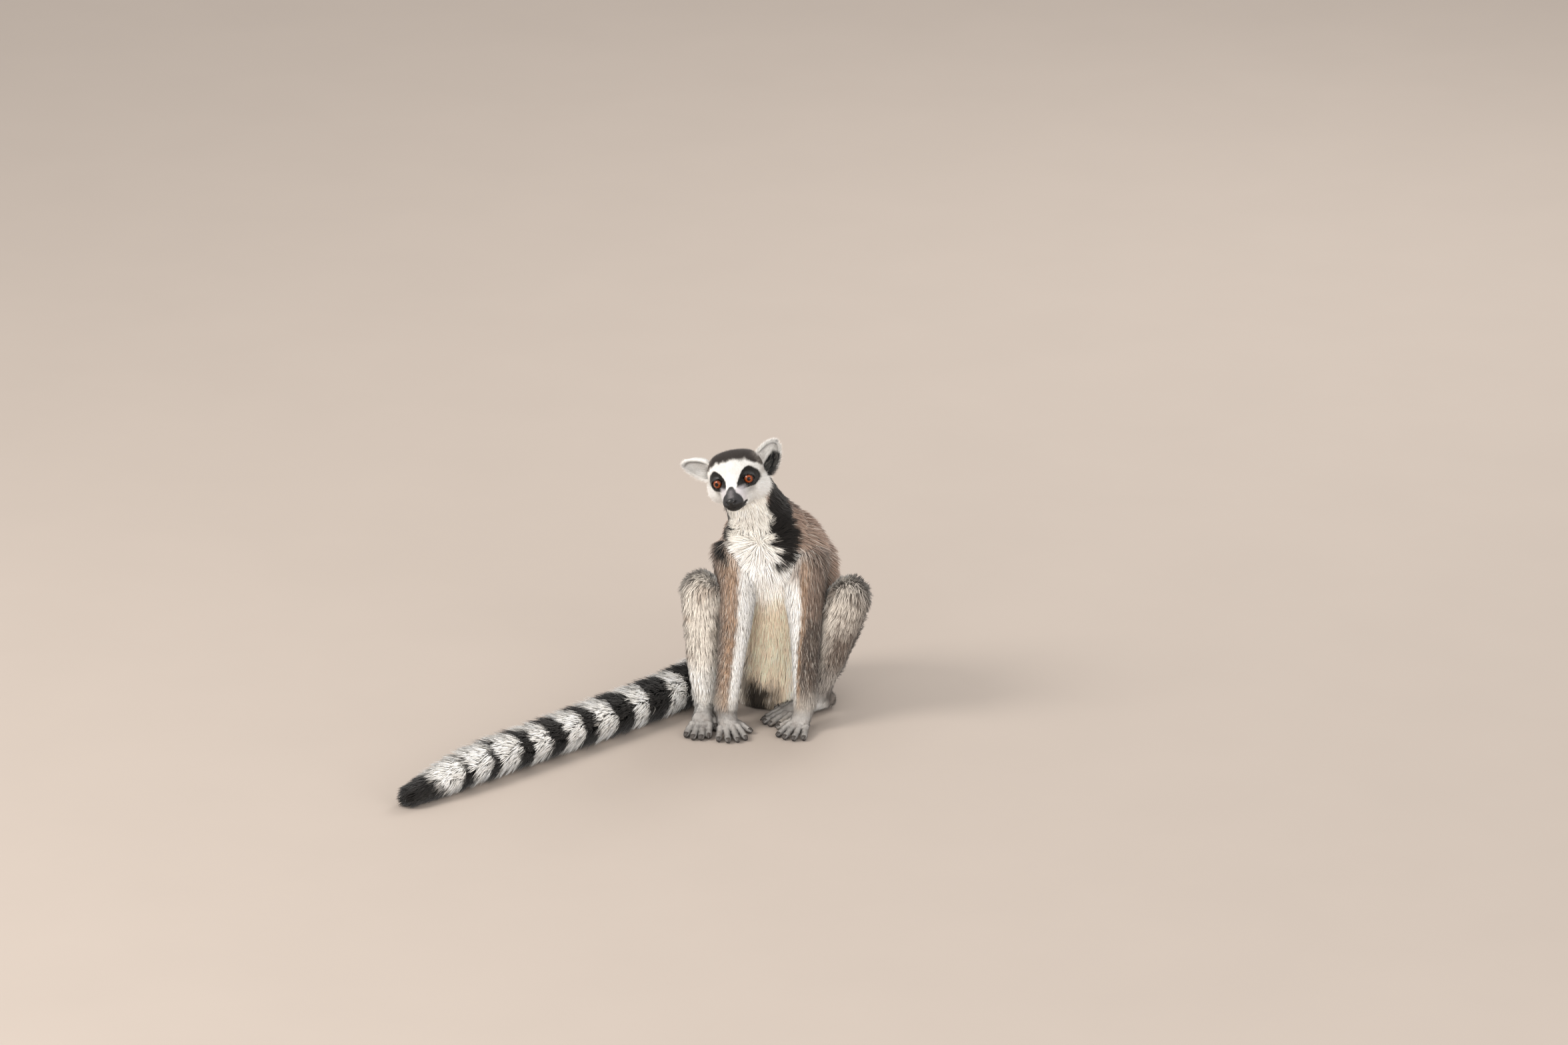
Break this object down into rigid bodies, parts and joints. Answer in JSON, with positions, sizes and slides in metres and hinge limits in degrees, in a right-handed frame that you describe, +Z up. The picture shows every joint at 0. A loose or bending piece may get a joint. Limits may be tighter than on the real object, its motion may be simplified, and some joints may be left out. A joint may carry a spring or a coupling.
{
  "type": "ring-tailed lemur, seated",
  "caption": "Life-size still model of a ring-tailed lemur sitting upright with knees drawn up, hands on the floor and a long ringed tail laid out beside it.",
  "frame": {"origin": "on the floor, on the flat under the rump that the animal sits on", "axes": "+Z up; -Y the way the chest faces; +X the animal's left"},
  "size_m": [0.4324, 0.5547, 0.3499],
  "materials": {
    "coat": "grey to brown-grey fur, buff and white below",
    "coat_pale": "white and pale grey short fur with a dark cap, eye patches and muzzle",
    "coat_ringed": "long fur in rings of black and white",
    "paw": "thin pale grey hair over dark grey skin, dark nails",
    "eye": "polished, orange iris, black pupil"
  },
  "bodies": {
    "root": {"ear_left": "coat_pale", "ear_right": "coat_pale", "eye_left": "eye", "eye_right": "eye", "foot_left": "paw", "foot_right": "paw", "forearm_left": "coat", "forearm_right": "coat", "hand_left": "paw", "hand_right": "paw", "head": "coat_pale", "neck": "coat_pale", "shank_left": "coat", "shank_right": "coat", "tail_1": "coat_ringed", "tail_2": "coat_ringed", "tail_3": "coat_ringed", "tail_4": "coat_ringed", "thigh_left": "coat", "thigh_right": "coat", "trunk": "coat", "upper_arm_left": "coat", "upper_arm_right": "coat"}
  },
  "joints": []
}
